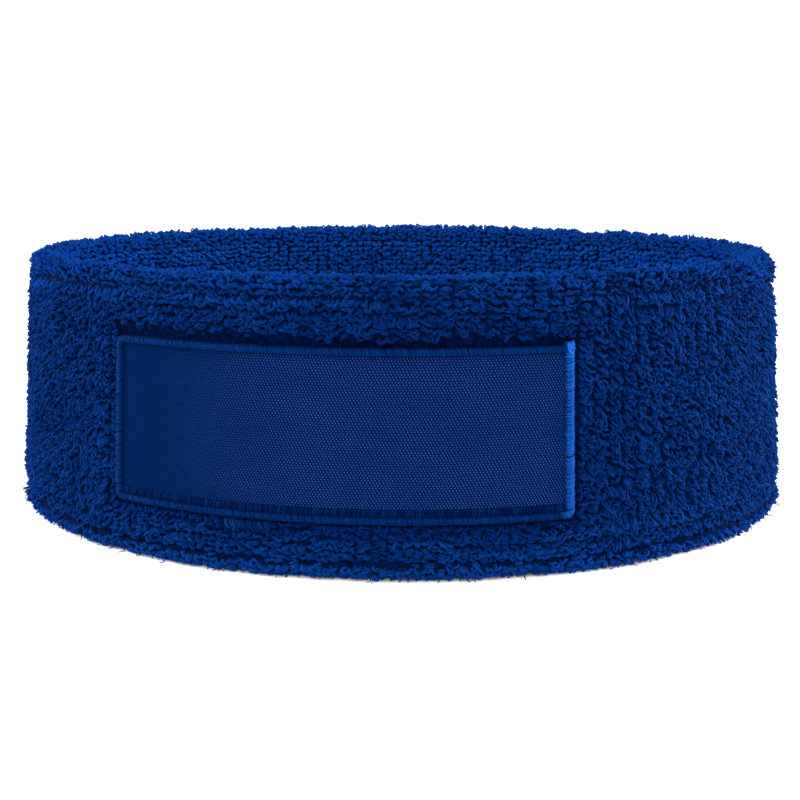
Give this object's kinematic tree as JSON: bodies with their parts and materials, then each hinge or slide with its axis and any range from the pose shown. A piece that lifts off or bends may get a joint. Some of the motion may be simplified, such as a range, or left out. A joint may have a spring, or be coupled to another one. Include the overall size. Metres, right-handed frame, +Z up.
{
  "type": "terry sweat headband",
  "caption": "Elastic terry sweatband, an oval ring of looped knit folded double with a closing hem and a blank woven label panel sewn on the front in a satin-stitched border.",
  "frame": {"origin": "centre of the oval band, in the plane that the hem rests on", "axes": "+X along the long way of the oval, +Z up from the hem to the fold, -Y towards the label"},
  "size_m": [0.157, 0.116, 0.05],
  "materials": {
    "terry": "looped cotton pile",
    "ground_knit": "plain nylon knit",
    "elastic": "covered rubber yarn",
    "seam_thread": "spun polyester thread",
    "label_weave": "woven polyester satin",
    "embroidery_thread": "bright polyester thread",
    "stabiliser": "tear-away interlining"
  },
  "bodies": {
    "root": {"outer_terry_pile": "terry", "fold_terry_pile": "terry", "inner_terry_pile": "terry", "hem_selvedge": "terry", "ground_knit_tube": "ground_knit", "elastic_yarn_outer_wall": "elastic", "elastic_yarn_inner_wall": "elastic", "seam_needle_thread": "seam_thread", "seam_looper_thread": "seam_thread", "label_panel": "label_weave", "label_border_thread": "embroidery_thread", "label_bobbin_thread": "embroidery_thread", "label_stabiliser": "stabiliser"}
  },
  "joints": []
}
